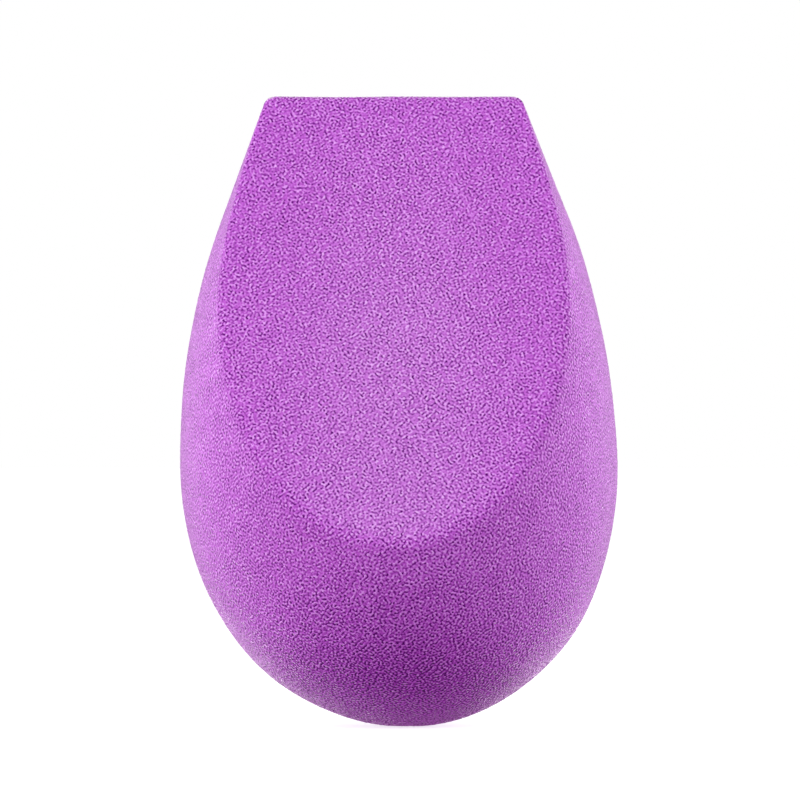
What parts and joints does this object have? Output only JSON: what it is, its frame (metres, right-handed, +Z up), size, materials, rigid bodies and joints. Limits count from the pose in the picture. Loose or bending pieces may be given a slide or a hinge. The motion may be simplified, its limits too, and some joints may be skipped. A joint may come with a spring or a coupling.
{
  "type": "makeup sponge",
  "caption": "Egg-shaped foam makeup sponge with a slanted flat blending face in front and a level flat top, standing on a small patch of its round end.",
  "frame": {"origin": "centre of the flat resting patch on the round bottom end, on the axis of the egg", "axes": "+Z up along the axis of the egg to the flat top, -Y towards the side that the slanted face is cut on, +X to the right when looking at that face"},
  "size_m": [0.0416, 0.0407, 0.06],
  "materials": {
    "foam": "matt orchid-purple open-cell foam with fine pores"
  },
  "bodies": {
    "root": {"foam_body": "foam"}
  },
  "joints": []
}
